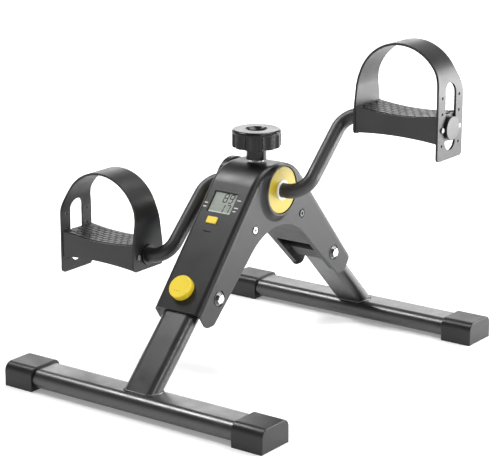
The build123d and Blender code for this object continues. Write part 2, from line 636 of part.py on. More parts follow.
for side in (FRONT, REAR):
    name = SIDE_NAMES[side]
    offset = -side * LEG_OFFSET
    with BuildPart() as foot_bar:
        with BuildSketch(Plane.YZ.offset(-BAR_LENGTH / 2 + CAP_END_WALL)):
            with Locations((side * BAR_TRACK / 2, BAR_Z)):
                SlotOverall(TUBE_WIDTH, TUBE_HEIGHT)
                SlotOverall(TUBE_WIDTH - 2 * TUBE_WALL, TUBE_HEIGHT - 2 * TUBE_WALL, mode=Mode.SUBTRACT)
        extrude(amount=BAR_LENGTH - 2 * CAP_END_WALL)
    save(foot_bar.part, f"{name}_foot_bar")
    # Leg tube, coped to sit on the bar
    with BuildPart() as bar_solid:
        with BuildSketch(Plane.YZ.offset(-BAR_LENGTH / 2)):
            with Locations((side * BAR_TRACK / 2, BAR_Z)):
                SlotOverall(TUBE_WIDTH, TUBE_HEIGHT)
        extrude(amount=BAR_LENGTH)
    with BuildPart() as leg_tube:
        with BuildSketch(leg_section_plane(side, LEG_START)):
            with Locations((0, offset)):
                SlotOverall(LEG_WIDTH, LEG_THICKNESS)
                SlotOverall(LEG_WIDTH - 2 * TUBE_WALL, LEG_THICKNESS - 2 * TUBE_WALL, mode=Mode.SUBTRACT)
        extrude(amount=LEG_RUN - LEG_START)
        add(bar_solid.part, mode=Mode.SUBTRACT)
        # Only the piece above the bar is kept
        split(bisect_by=Plane.XY.offset(BAR_Z), keep=Keep.TOP)
    save(leg_tube.part, f"{name}_leg_tube")
    for hand in (LEFT, RIGHT):
        mouth_x = hand * (BAR_LENGTH / 2 - CAP_LENGTH)
        with BuildPart() as end_cap:
            with BuildSketch(Plane.YZ.offset(mouth_x)):
                with Locations((side * BAR_TRACK / 2, BAR_Z)):
                    Rectangle(CAP_WIDTH, CAP_HEIGHT)
            extrude(amount=hand * CAP_LENGTH)
            crown = end_cap.edges().filter_by(Axis.X).group_by(Axis.Z)[-1]
            fillet(crown, CAP_CROWN_RADIUS)
            end_face = end_cap.faces().sort_by(Axis.X)[-1 if hand == RIGHT else 0]
            fillet(end_face.edges(), CAP_EDGE)
            with BuildSketch(Plane.YZ.offset(mouth_x)):
                with Locations((side * BAR_TRACK / 2, BAR_Z)):
                    SlotOverall(TUBE_WIDTH, TUBE_HEIGHT)
            extrude(amount=hand * (CAP_LENGTH - CAP_END_WALL), mode=Mode.SUBTRACT)
        save(end_cap.part, f"{name}_{HAND_NAMES[hand]}_end_cap")
    with BuildPart() as leg_knuckle:
        with BuildSketch(leg_side_plane(side)):
            with BuildLine():
                ear_start = (-sqrt(KNUCKLE_RADIUS**2 - KNUCKLE_EAR**2), -KNUCKLE_EAR)
                far_point = (-KNUCKLE_RADIUS, 0)
                web_tangent = (0, KNUCKLE_RADIUS)
                ThreePointArc(ear_start, far_point, web_tangent)
                shoulder = (LEG_START, LEG_OFFSET - LEG_THICKNESS / 2)
                ear_end = (KNUCKLE_EAR_RUN, -KNUCKLE_EAR)
                Polyline(web_tangent, (LEG_START, KNUCKLE_RADIUS), shoulder, ear_end, ear_start)
            make_face()
        extrude(amount=LEG_WIDTH / 2, both=True)
        with BuildSketch(leg_section_plane(side, LEG_START)):
            with Locations((0, offset)):
                SlotOverall(LEG_WIDTH - 2 * TUBE_WALL, LEG_THICKNESS - 2 * TUBE_WALL)
        extrude(amount=KNUCKLE_SPIGOT - LEG_START)
        # Bore for the pivot bush
        disc_x(-LEG_WIDTH, side * PIVOT_Y, PIVOT_Z, PIVOT_BUSH_RADIUS, 2 * LEG_WIDTH, Mode.SUBTRACT)
        # Lock pockets that face the lock button with the leg open and folded
        lock_plane = web_plane(side, LOCK_ALONG, LOCK_X).offset(-LOCK_TIP_DEPTH)
        with BuildSketch(lock_plane):
            Circle(LOCK_POCKET_RADIUS)
        pocket = extrude(amount=-LOCK_POCKET_DEPTH, mode=Mode.PRIVATE)
        add(pocket, mode=Mode.SUBTRACT)
        pivot_axis = Axis((0, side * PIVOT_Y, PIVOT_Z), (1, 0, 0))
        add(pocket.rotate(pivot_axis, side * FOLD_ANGLE), mode=Mode.SUBTRACT)
    save(leg_knuckle.part, f"{name}_leg_knuckle")
    with BuildPart() as pivot_bush:
        bush_start = (-LEG_WIDTH / 2, side * PIVOT_Y, PIVOT_Z)
        disc_x(*bush_start, PIVOT_BUSH_RADIUS, LEG_WIDTH)
        disc_x(*bush_start, PIVOT_BOLT_RADIUS + RUN_FIT, LEG_WIDTH, Mode.SUBTRACT)
    save(pivot_bush.part, f"{name}_pivot_bush")

# ---------------------------------------------------------------- crank

with BuildPart() as crank_tube:
    with BuildLine() as crank_path:
        crank_corners = [
            (-CRANK_END_X, -CRANK_Y, HUB_Z - CRANK_Z),
            (-PEDAL_ELBOW_X, -CRANK_Y, HUB_Z - CRANK_Z),
            (-CRANK_ELBOW_X, 0, HUB_Z),
            (CRANK_ELBOW_X, 0, HUB_Z),
            (PEDAL_ELBOW_X, CRANK_Y, HUB_Z + CRANK_Z),
            (CRANK_END_X, CRANK_Y, HUB_Z + CRANK_Z),
        ]
        FilletPolyline(*crank_corners, radius=CRANK_BEND)
    with BuildSketch(Plane(origin=crank_path.line @ 0, z_dir=crank_path.line % 0)):
        Circle(CRANK_TUBE / 2)
        Circle(CRANK_TUBE / 2 - CRANK_WALL, mode=Mode.SUBTRACT)
    sweep()
save(crank_tube.part, "crank_tube")

with BuildPart() as brake_drum:
    disc_x(-DRUM_WIDTH / 2, 0, HUB_Z, DRUM_RADIUS, DRUM_WIDTH)
    disc_x(-DRUM_WIDTH / 2, 0, HUB_Z, CRANK_TUBE / 2, DRUM_WIDTH, Mode.SUBTRACT)
save(brake_drum.part, "brake_drum")

with BuildPart() as crank_collars:
    for hand in (LEFT, RIGHT):
        disc_x(hand * COLLAR_X, 0, HUB_Z, DRUM_RADIUS, hand * COLLAR_WIDTH)
        disc_x(hand * COLLAR_X, 0, HUB_Z, CRANK_TUBE / 2, hand * COLLAR_WIDTH, Mode.SUBTRACT)
save(crank_collars.part, "crank_collars")

magnet_seat = Plane.XZ.offset(MAGNET_RING_RADIUS - MAGNET_SEAT)
magnet_spot = (MAGNET_RING_X + MAGNET_RING_WIDTH / 2, HUB_Z)

with BuildPart() as magnet_ring:
    disc_x(MAGNET_RING_X, 0, HUB_Z, MAGNET_RING_RADIUS, MAGNET_RING_WIDTH)
    disc_x(MAGNET_RING_X, 0, HUB_Z, CRANK_TUBE / 2, MAGNET_RING_WIDTH, Mode.SUBTRACT)
    with BuildSketch(magnet_seat):
        with Locations(magnet_spot):
            Circle(MAGNET_RADIUS)
    extrude(amount=2 * MAGNET_SEAT, mode=Mode.SUBTRACT)
save(magnet_ring.part, "magnet_ring")

with BuildPart() as crank_magnet:
    with BuildSketch(magnet_seat):
        with Locations(magnet_spot):
            Circle(MAGNET_RADIUS)
    extrude(amount=MAGNET_LENGTH)
save(crank_magnet.part, "crank_magnet")

# ---------------------------------------------------------------- pedals


def tread_section(hand, low, high, sag, arch, half_inset):
    """Front view of a tread, dished on top and arched below, in the plane of its spindle."""
    near_x = STRAP_INNER_X + STRAP_THICKNESS + half_inset
    far_x = PEDAL_END_X - STRAP_THICKNESS - half_inset
    mid_x = (near_x + far_x) / 2
    spindle_z = HUB_Z + hand * CRANK_Z
    points = []
    for x, z in ((near_x, high), (mid_x, high - sag), (far_x, high)):
        points.append((hand * x, spindle_z + z))
    for x, z in ((far_x, low), (mid_x, low + arch), (near_x, low)):
        points.append((hand * x, spindle_z + z))
    with BuildSketch(Plane.XZ.offset(-hand * CRANK_Y)) as section:
        with BuildLine():
            ThreePointArc(*points[:3])
            Line(points[2], points[3])
            ThreePointArc(*points[3:])
            Line(points[5], points[0])
        make_face()
    return section.sketch


def strap_band(hand, inset):
    """Front view of the toe strap's outside, set in by a thickness, closed below."""
    near_x = STRAP_INNER_X + inset
    far_x = PEDAL_END_X - inset
    radius = (far_x - near_x) / 2
    spindle_z = HUB_Z + hand * CRANK_Z
    arch_z = spindle_z + STRAP_ARCH_Z
    low_near = spindle_z + STRAP_INNER_FOOT - inset
    low_far = spindle_z + STRAP_OUTER_FOOT - inset
    middle = ((near_x + far_x) / 2 * hand, arch_z + radius)
    with BuildSketch(Plane.XZ.offset(-hand * CRANK_Y)) as band:
        with BuildLine():
            Line((hand * near_x, low_near), (hand * near_x, arch_z))
            ThreePointArc((hand * near_x, arch_z), middle, (hand * far_x, arch_z))
            step_x = hand * (near_x + far_x) / 2
            Polyline((hand * far_x, arch_z), (hand * far_x, low_far), (step_x, low_far))
            Polyline((step_x, low_far), (step_x, low_near), (hand * near_x, low_near))
        make_face()
    return band.sketch


def strap_leg(hand, x, taper):
    """Side view of a strap leg at X = x: full width up to the taper, then as narrow as the arch."""
    spindle_y = hand * CRANK_Y
    spindle_z = HUB_Z + hand * CRANK_Z
    wide = STRAP_WIDTH / 2
    narrow = STRAP_ARCH_WIDTH / 2
    heights = (STRAP_OUTER_FOOT - 1, *taper, STRAP_ARCH_Z + PEDAL_LENGTH / 2 + 1)
    edge = list(zip((wide, wide, narrow, narrow), heights))
    corners = [(spindle_y + w, spindle_z + z) for w, z in edge]
    corners += [(spindle_y - w, spindle_z + z) for w, z in reversed(edge)]
    rounding = (0, STRAP_TAPER_RADIUS, STRAP_TAPER_RADIUS, 0)
    with BuildSketch(Plane.YZ.offset(x)) as leg:
        with BuildLine():
            FilletPolyline(*corners, radius=rounding * 2, close=True)
        make_face()
    return leg.sketch


for hand in (LEFT, RIGHT):
    name = HAND_NAMES[hand]
    pedal_y = hand * CRANK_Y
    pedal_z = HUB_Z + hand * CRANK_Z
    inner_x = hand * STRAP_INNER_X
    outer_x = hand * PEDAL_END_X
    tread_in = hand * (STRAP_INNER_X + STRAP_THICKNESS)
    tread_out = hand * (PEDAL_END_X - STRAP_THICKNESS)
    tread_span = abs(tread_out - tread_in)
    with BuildPart() as tread:
        outline = tread_section(hand, TREAD_BOTTOM, TREAD_TOP, TREAD_SAG, TREAD_ARCH, 0)
        extrude(outline, TREAD_WIDTH / 2, both=True)
        # Hollow underneath, with a bush seat at each end and cross ribs between them
        roof = TREAD_TOP - TREAD_WALL
        room = tread_section(hand, TREAD_BOTTOM - TREAD_WALL, roof, TREAD_SAG, TREAD_ARCH, TREAD_WALL)
        extrude(room, TREAD_WIDTH / 2 - TREAD_WALL, both=True, mode=Mode.SUBTRACT)
        seat_radius = PEDAL_BUSH_RADIUS + PEDAL_BUSH_WALL
        disc_x(tread_in, pedal_y, pedal_z, seat_radius, hand * PEDAL_BUSH_LENGTH)
        disc_x(tread_out, pedal_y, pedal_z, seat_radius, -hand * PEDAL_BUSH_LENGTH)
        rib_foot = TREAD_BOTTOM + TREAD_RIB_GAP
        rib_area = tread_section(hand, rib_foot, TREAD_TOP - 1, TREAD_SAG, TREAD_ARCH, 0)
        rib_zone = extrude(rib_area, TREAD_WIDTH / 2 - 1, both=True, mode=Mode.PRIVATE)
        for rib in range(1, TREAD_RIBS + 1):
            rib_x = tread_in + hand * tread_span * rib / (TREAD_RIBS + 1)
            with BuildSketch(Plane.YZ.offset(rib_x)):
                with Locations((pedal_y, pedal_z)):
                    Rectangle(TREAD_WIDTH, TREAD_WIDTH)
            rib_plate = extrude(amount=TREAD_RIB / 2, both=True, mode=Mode.PRIVATE)
            add(rib_plate & rib_zone)
        disc_x(tread_in, pedal_y, pedal_z, SPINDLE_ROOM_RADIUS, hand * tread_span, Mode.SUBTRACT)
        disc_x(tread_in, pedal_y, pedal_z, PEDAL_BUSH_RADIUS, hand * PEDAL_BUSH_LENGTH, Mode.SUBTRACT)
        disc_x(tread_out, pedal_y, pedal_z, PEDAL_BUSH_RADIUS, -hand * PEDAL_BUSH_LENGTH, Mode.SUBTRACT)
        for screw_side in (FRONT, REAR):
            boss_y = pedal_y + screw_side * STRAP_HOLE_Y
            for start, way in ((tread_in, hand), (tread_out, -hand)):
                disc_x(start, boss_y, pedal_z, SCREW_BOSS_RADIUS, way * SCREW_BOSS_LENGTH)
                disc_x(start, boss_y, pedal_z, STRAP_HOLE_RADIUS, way * SCREW_HOLE_DEPTH, Mode.SUBTRACT)
        # Raised grip bars on the dished top, every other row shifted by half a pitch
        grip_low = TREAD_TOP - GRIP_ROOT
        grip_high = TREAD_TOP + GRIP_HEIGHT
        grip = tread_section(hand, grip_low, grip_high, TREAD_SAG, -TREAD_SAG, GRIP_MARGIN_X)
        grip_zone = extrude(grip, TREAD_WIDTH / 2 - GRIP_MARGIN_Y, both=True, mode=Mode.PRIVATE)
        with BuildSketch(Plane.XY.offset(pedal_z + grip_low - TREAD_SAG)):
            for row in range(GRIP_ROWS):
                row_y = pedal_y + (row - (GRIP_ROWS - 1) / 2) * GRIP_PITCH_Y
                row_x = (tread_in + tread_out) / 2 + GRIP_PITCH_X / 4 * (-1) ** row
                with Locations((row_x, row_y)):
                    with GridLocations(GRIP_PITCH_X, GRIP_PITCH_Y, GRIP_COLUMNS, 1):
                        Rectangle(GRIP_PITCH_X - GRIP_GAP_X, GRIP_PITCH_Y - GRIP_GAP_Y)
        bars = extrude(amount=TREAD_SAG + GRIP_ROOT + 2 * GRIP_HEIGHT, mode=Mode.PRIVATE)
        add(bars & grip_zone)
    save(tread.part, f"{name}_tread")
    with BuildPart() as strap:
        extrude(strap_band(hand, 0), STRAP_WIDTH / 2, both=True)
        extrude(strap_band(hand, STRAP_THICKNESS), STRAP_WIDTH, both=True, mode=Mode.SUBTRACT)
        foot_edges = strap.edges().filter_by(Axis.X).filter_by(lambda e: e.center().Z < pedal_z)
        fillet(foot_edges, STRAP_CORNER)
        # Each leg narrows towards the arch
        half_span = hand * PEDAL_LENGTH / 2
        inner_leg = extrude(strap_leg(hand, inner_x, STRAP_INNER_TAPER), half_span, mode=Mode.PRIVATE)
        outer_leg = extrude(strap_leg(hand, outer_x, STRAP_OUTER_TAPER), -half_span, mode=Mode.PRIVATE)
        add(inner_leg + outer_leg, mode=Mode.INTERSECT)
        # Hole for the inner bush, slot for the axle cap, and two columns of holes
        through = hand * STRAP_THICKNESS
        disc_x(inner_x, pedal_y, pedal_z, STRAP_BUSH_RADIUS, through, Mode.SUBTRACT)
        with BuildSketch(Plane.YZ.offset(outer_x)):
            slot_mid = pedal_z + (STRAP_SLOT_LOW + STRAP_SLOT_HIGH) / 2
            with Locations((pedal_y, slot_mid)):
                SlotOverall(STRAP_SLOT_HIGH - STRAP_SLOT_LOW, STRAP_SLOT_WIDTH, rotation=90)
        extrude(amount=-hand * STRAP_SLOT_REACH, mode=Mode.SUBTRACT)
        for column_side in (FRONT, REAR):
            hole_y = pedal_y + column_side * STRAP_HOLE_Y
            disc_x(inner_x, hole_y, pedal_z, STRAP_HOLE_RADIUS, through, Mode.SUBTRACT)
            for step in STRAP_HOLE_STEPS:
                hole_z = pedal_z + step * STRAP_HOLE_PITCH
                disc_x(outer_x, hole_y, hole_z, STRAP_HOLE_RADIUS, -through, Mode.SUBTRACT)
    save(strap.part, f"{name}_toe_strap")
    with BuildPart() as strap_screws:
        for column_side in (FRONT, REAR):
            hole_y = pedal_y + column_side * STRAP_HOLE_Y
            for start, way in ((inner_x, hand), (outer_x, -hand)):
                disc_x(start, hole_y, pedal_z, STRAP_HOLE_RADIUS, way * STRAP_SCREW_RUN)
                disc_x(start, hole_y, pedal_z, STRAP_SCREW_HEAD, -way * STRAP_SCREW_HEAD_HEIGHT)
        heads = strap_screws.edges().filter_by(GeomType.CIRCLE).group_by(Axis.X)
        fillet(heads[0] + heads[-1], STRAP_SCREW_EDGE)
    save(strap_screws.part, f"{name}_strap_screws")
    with BuildPart() as pedal_bushes:
        collar_x = inner_x - hand * BUSH_COLLAR
        disc_x(collar_x, pedal_y, pedal_z, BUSH_COLLAR_RADIUS, hand * (BUSH_COLLAR + STRAP_THICKNESS))
        disc_x(tread_in, pedal_y, pedal_z, PEDAL_BUSH_RADIUS, hand * PEDAL_BUSH_LENGTH)
        disc_x(tread_out, pedal_y, pedal_z, PEDAL_BUSH_RADIUS, -hand * PEDAL_BUSH_LENGTH)
        bore_run = outer_x - collar_x
        disc_x(collar_x, pedal_y, pedal_z, CRANK_TUBE / 2 + RUN_FIT, bore_run, Mode.SUBTRACT)
    save(pedal_bushes.part, f"{name}_pedal_bushes")
    with BuildPart() as axle_cap:
        cap_x = outer_x + hand * AXLE_CAP_GAP
        disc_x(cap_x, pedal_y, pedal_z, AXLE_CAP_RADIUS, hand * AXLE_CAP_THICKNESS)
        disc_x(cap_x, pedal_y, pedal_z, CRANK_TUBE / 2, hand * CRANK_END_X - cap_x)
        disc_x(cap_x, pedal_y, pedal_z, CRANK_TUBE / 2 - CRANK_WALL, -hand * AXLE_CAP_PLUG)
        outer_rim = axle_cap.edges().filter_by(GeomType.CIRCLE).sort_by(Axis.X)
        fillet(outer_rim[-1] if hand == RIGHT else outer_rim[0], AXLE_CAP_EDGE)
    save(axle_cap.part, f"{name}_axle_cap")

# ---------------------------------------------------------------- tension knob and brake

knob_foot = KNOB_TOP - KNOB_HEAD

with BuildPart() as tension_knob:
    with BuildSketch(Plane.XY.offset(knob_foot)):
        Circle(KNOB_RADIUS)
    extrude(amount=KNOB_HEAD)
    rims = tension_knob.edges().filter_by(GeomType.CIRCLE).sort_by(Axis.Z)
    fillet(rims[-1], KNOB_TOP_EDGE)
    fillet(rims[0], KNOB_FOOT_EDGE)
    with BuildSketch(Plane.XY.offset(knob_foot)):
        with PolarLocations(KNOB_RADIUS + KNOB_FLUTE_RADIUS - KNOB_FLUTE_DEPTH, KNOB_FLUTES):
            Circle(KNOB_FLUTE_RADIUS)
    extrude(amount=KNOB_HEAD - KNOB_FLUTE_TOP, mode=Mode.SUBTRACT)
    with BuildSketch(Plane.XY.offset(KNOB_NECK_FOOT)):
        Circle(KNOB_NECK_RADIUS)
    extrude(amount=knob_foot - KNOB_NECK_FOOT)
    # Dish in the top: a sphere through the dish's rim and bottom
    dish_radius = (KNOB_DISH_RADIUS**2 + KNOB_DISH_DEPTH**2) / (2 * KNOB_DISH_DEPTH)
    with Locations((0, 0, KNOB_TOP - KNOB_DISH_DEPTH + dish_radius)):
        Sphere(dish_radius, mode=Mode.SUBTRACT)
    with BuildSketch(Plane.XY.offset(KNOB_NECK_FOOT)):
        Circle(SCREW_RADIUS)
    extrude(amount=SCREW_TOP - KNOB_NECK_FOOT, mode=Mode.SUBTRACT)
save(tension_knob.part, "tension_knob")

with BuildPart() as tension_screw:
    with BuildSketch(Plane.XY.offset(SHOE_TOP)):
        Circle(SCREW_RADIUS)
    extrude(amount=SCREW_TOP - SHOE_TOP)
save(tension_screw.part, "tension_screw")

with BuildPart() as thread_insert:
    with BuildSketch(Plane.XY.offset(SHOE_POCKET_TOP)):
        Circle(INSERT_RADIUS)
    extrude(amount=HOUSING_TOP - SHOE_POCKET_TOP)
    with BuildSketch(Plane.XY.offset(HOUSING_TOP)):
        Circle(INSERT_FLANGE_RADIUS)
    extrude(amount=INSERT_FLANGE)
    with BuildSketch(Plane.XY.offset(SHOE_POCKET_TOP)):
        Circle(SCREW_RADIUS + RUN_FIT)
    extrude(amount=HOUSING_TOP + INSERT_FLANGE - SHOE_POCKET_TOP, mode=Mode.SUBTRACT)
save(thread_insert.part, "thread_insert")

with BuildPart() as brake_shoe:
    with BuildSketch(Plane.XY.offset(SHOE_TOP - SHOE_THICKNESS)):
        Rectangle(SHOE_X, SHOE_Y)
    extrude(amount=SHOE_THICKNESS)
save(brake_shoe.part, "brake_shoe")

with BuildPart() as brake_pad:
    with BuildSketch(Plane.XY.offset(SHOE_TOP - SHOE_THICKNESS - PAD_THICKNESS)):
        Rectangle(SHOE_X - PAD_INSET, SHOE_Y - 2 * PAD_INSET)
    extrude(amount=PAD_THICKNESS)
save(brake_pad.part, "brake_pad")

# ---------------------------------------------------------------- counter


def counter_block(name, middle, size, outer, inner, radius):
    """A rounded rectangular block between two depths below the front web's face."""
    with BuildPart() as block:
        with BuildSketch(web_plane(FRONT, *middle).offset(-outer)):
            RectangleRounded(*size, radius)
        extrude(amount=outer - inner)
    save(block.part, name)


window_middle = (WINDOW_ALONG, WINDOW_X)
case_middle = (CASE_ALONG, WINDOW_X)
window_size = (WINDOW_WIDTH - 0.2, WINDOW_HEIGHT - 0.2)
lcd_size = (WINDOW_WIDTH - 0.6, WINDOW_HEIGHT - 0.6)
board_size = (CASE_WIDTH - 2 * CASE_WALL - 1, CASE_HEIGHT - 2 * CASE_WALL - 1)
counter_block("display_window", window_middle, window_size, WINDOW_TOP, WINDOW_BACK, 0.9)
counter_block("lcd_panel", window_middle, lcd_size, WINDOW_BACK, LCD_BACK, 0.5)
counter_block("circuit_board", case_middle, board_size, BOARD_TOP, BOARD_BACK, 1.0)
counter_block("mode_switch", (MODE_ALONG, MODE_X), (SWITCH_SIZE, SWITCH_SIZE), SWITCH_TOP, BOARD_TOP, 0.5)

with BuildPart() as monitor_case:
    case_face = web_plane(FRONT, *case_middle).offset(-WALL)
    with BuildSketch(case_face):
        RectangleRounded(CASE_WIDTH, CASE_HEIGHT, 3.0)
    extrude(amount=-CASE_DEPTH)
    for ear_x, ear_up in CASE_EARS:
        with BuildSketch(web_plane(FRONT, CASE_ALONG + ear_up, WINDOW_X + ear_x).offset(-WALL)):
            Circle(CASE_EAR_RADIUS)
        extrude(amount=-CASE_EAR)
    with BuildSketch(case_face):
        RectangleRounded(CASE_WIDTH - 2 * CASE_WALL, CASE_HEIGHT - 2 * CASE_WALL, 1.5)
    extrude(amount=CASE_WALL - CASE_DEPTH, mode=Mode.SUBTRACT)
    for ear_x, ear_up in CASE_EARS:
        with BuildSketch(web_plane(FRONT, CASE_ALONG + ear_up, WINDOW_X + ear_x).offset(-WALL)):
            Circle(CASE_SCREW_RADIUS)
        extrude(amount=-CASE_EAR, mode=Mode.SUBTRACT)
save(monitor_case.part, "monitor_case")

with BuildPart() as case_screws:
    for ear_x, ear_up in CASE_EARS:
        ear_face = web_plane(FRONT, CASE_ALONG + ear_up, WINDOW_X + ear_x)
        with BuildSketch(ear_face.offset(-CASE_SCREW_TIP)):
            Circle(CASE_SCREW_RADIUS)
        extrude(amount=CASE_SCREW_TIP - WALL - CASE_EAR)
        with BuildSketch(ear_face.offset(-WALL - CASE_EAR)):
            Circle(CASE_SCREW_HEAD)
        extrude(amount=-CASE_SCREW_HEAD_HEIGHT)
save(case_screws.part, "case_screws")

with BuildPart() as button_cell:
    with BuildSketch(web_plane(FRONT, *case_middle).offset(-BOARD_BACK)):
        Circle(CELL_RADIUS)
    extrude(amount=-CELL_HEIGHT)
save(button_cell.part, "button_cell")

with BuildPart() as mode_button:
    with BuildSketch(web_plane(FRONT, MODE_ALONG, MODE_X).offset(-MODE_FOOT)):
        RectangleRounded(MODE_WIDTH, MODE_HEIGHT, MODE_CORNER)
    extrude(amount=MODE_FOOT + MODE_PROUD)
    button_top = mode_button.faces().sort_by(Axis((0, 0, 0), (0, -WEB_SIN, WEB_COS)))[-1]
    fillet(button_top.edges(), 0.6)
save(mode_button.part, "mode_button")

# Reed sensor beside the magnet ring, on the inside of the right side plate
with BuildPart() as reed_sensor:
    with BuildSketch(Plane.YZ.offset(REED_X)):
        with Locations((REED_Y, HUB_Z)):
            RectangleRounded(REED_WIDTH, REED_HEIGHT, 1.0)
    extrude(amount=INNER_HALF_WIDTH - REED_X)
save(reed_sensor.part, "reed_sensor")
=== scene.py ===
import json
import math

import bmesh
import bpy
from mathutils import Matrix, Vector


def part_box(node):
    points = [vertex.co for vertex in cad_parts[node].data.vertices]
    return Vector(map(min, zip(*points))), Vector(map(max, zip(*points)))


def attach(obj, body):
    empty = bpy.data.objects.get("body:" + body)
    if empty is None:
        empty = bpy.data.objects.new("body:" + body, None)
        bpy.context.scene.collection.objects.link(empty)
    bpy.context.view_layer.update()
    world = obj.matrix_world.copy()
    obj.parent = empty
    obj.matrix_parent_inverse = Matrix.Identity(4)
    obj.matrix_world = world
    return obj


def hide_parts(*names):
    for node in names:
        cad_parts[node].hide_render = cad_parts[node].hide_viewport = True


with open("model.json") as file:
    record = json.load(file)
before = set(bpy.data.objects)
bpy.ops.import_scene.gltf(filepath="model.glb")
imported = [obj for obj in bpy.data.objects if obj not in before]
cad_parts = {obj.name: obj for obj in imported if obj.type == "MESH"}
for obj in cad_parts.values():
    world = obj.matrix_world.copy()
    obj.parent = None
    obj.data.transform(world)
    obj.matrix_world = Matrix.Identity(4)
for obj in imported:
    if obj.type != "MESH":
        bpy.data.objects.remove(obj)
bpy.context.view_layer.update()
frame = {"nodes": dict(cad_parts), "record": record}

# Looks of the folding pedal exerciser. Metres, the same frame as the CAD: +X to the right-hand crank,
# -Y to the counter, +Z up.

MM = 0.001
nodes = frame["nodes"]


# ---------------------------------------------------------------- camera

CAMERA_AZIMUTH = 36.07
CAMERA_ELEVATION = 15.64
CAMERA_DISTANCE = 2.4651
CAMERA_LENS = 137.36
CAMERA_TARGET = Vector((-0.01016, 0.0, 0.17103))


def make_camera():
    """The main camera, on a sphere round its target."""
    azimuth = math.radians(CAMERA_AZIMUTH)
    elevation = math.radians(CAMERA_ELEVATION)
    flat = math.cos(elevation)
    back = Vector((math.sin(azimuth) * flat, -math.cos(azimuth) * flat, math.sin(elevation)))
    camera = bpy.data.objects.new("camera", bpy.data.cameras.new("camera"))
    camera.data.lens = CAMERA_LENS
    camera.data.sensor_width = 36.0
    camera.location = CAMERA_TARGET + back * CAMERA_DISTANCE
    camera.rotation_euler = back.to_track_quat("Z", "Y").to_euler()
    bpy.context.scene.collection.objects.link(camera)
    bpy.context.scene.camera = camera


make_camera()

# ---------------------------------------------------------------- material building blocks


class Surface:
    """A material being built: its node tree, its Principled shader and its object coordinates."""

    def __init__(self, name):
        self.material = bpy.data.materials.new(name)
        self.material.use_nodes = True
        self.tree = self.material.node_tree
        self.shader = self.tree.nodes["Principled BSDF"]
        self.coords = self.tree.nodes.new("ShaderNodeTexCoord").outputs["Object"]
        self.height = None

    def add(self, kind):
        return self.tree.nodes.new(kind)

    def link(self, source, target):
        self.tree.links.new(source, target)

    def stretched(self, scale):
        """The object coordinates, scaled along each axis."""
        mapping = self.add("ShaderNodeMapping")
        mapping.inputs["Scale"].default_value = scale
        self.link(self.coords, mapping.inputs["Vector"])
        return mapping.outputs["Vector"]

    def noise(self, scale, detail=2.0, vector=None):
        texture = self.add("ShaderNodeTexNoise")
        texture.inputs["Scale"].default_value = scale
        texture.inputs["Detail"].default_value = detail
        self.link(vector or self.coords, texture.inputs["Vector"])
        return texture.outputs["Fac"]

    def cells(self, scale):
        """Distance to the nearest cell centre, for grain."""
        texture = self.add("ShaderNodeTexVoronoi")
        texture.inputs["Scale"].default_value = scale
        self.link(self.coords, texture.inputs["Vector"])
        return texture.outputs["Distance"]

    def spread(self, source, low, high, start=0.3, end=0.7):
        """A source between start and end, mapped to low and high."""
        span = self.add("ShaderNodeMapRange")
        span.inputs["From Min"].default_value = start
        span.inputs["From Max"].default_value = end
        span.inputs["To Min"].default_value = low
        span.inputs["To Max"].default_value = high
        self.link(source, span.inputs["Value"])
        return span.outputs["Result"]

    def maths(self, operation, first, second):
        node = self.add("ShaderNodeMath")
        node.operation = operation
        for socket, value in zip(node.inputs, (first, second)):
            if isinstance(value, (int, float)):
                socket.default_value = value
            else:
                self.link(value, socket)
        return node.outputs["Value"]

    def mixed(self, factor, first, second):
        """One colour into another by a factor. Each is a colour or a socket."""
        node = self.add("ShaderNodeMix")
        node.data_type = "RGBA"
        self.link(factor, node.inputs["Factor"])
        for socket, value in ((node.inputs["A"], first), (node.inputs["B"], second)):
            if isinstance(value, tuple):
                socket.default_value = (*value, 1.0)
            else:
                self.link(value, socket)
        return node.outputs["Result"]

    def colour(self, source):
        self.link(source, self.shader.inputs["Base Color"])

    def mottled(self, source, first, second):
        """A base colour that drifts between two with a texture."""
        self.colour(self.mixed(self.spread(source, 0.0, 1.0), first, second))

    def roughness(self, source):
        self.link(source, self.shader.inputs["Roughness"])

    def bump(self, height, distance):
        """Adds one layer of relief. Distance is in metres."""
        node = self.add("ShaderNodeBump")
        node.inputs["Strength"].default_value = 1.0
        node.inputs["Distance"].default_value = distance
        self.link(height, node.inputs["Height"])
        if self.height is not None:
            self.link(self.height, node.inputs["Normal"])
        self.height = node.outputs["Normal"]
        self.link(self.height, self.shader.inputs["Normal"])

    def set(self, **values):
        for name, value in values.items():
            self.shader.inputs[name.replace("_", " ")].default_value = value


DRAWN_LINES = (1.0, 30.0, 30.0)


def tint(colour, factor):
    return tuple(min(1.0, c * factor) for c in colour)


def moulded(name, colour, roughness, grain=1.0, ior=1.5, mottle=0.18):
    """Injection-moulded plastic: faint flow mottling, spark-eroded grain and a handled sheen."""
    surface = Surface(name)
    flow = surface.noise(14.0, 4.0, surface.stretched((1.0, 1.0, 2.2)))
    surface.mottled(flow, tint(colour, 1 - mottle), tint(colour, 1 + mottle))
    handled = surface.noise(38.0, 5.0)
    fine = surface.noise(900.0, 1.0)
    sheen = surface.spread(handled, roughness - 0.045, roughness + 0.045)
    surface.roughness(surface.maths("ADD", sheen, surface.spread(fine, -0.02, 0.02)))
    surface.bump(surface.noise(24.0, 2.0), 0.00016)
    surface.bump(surface.cells(1900.0), 0.000016 * grain)
    surface.set(IOR=ior)
    return surface.material


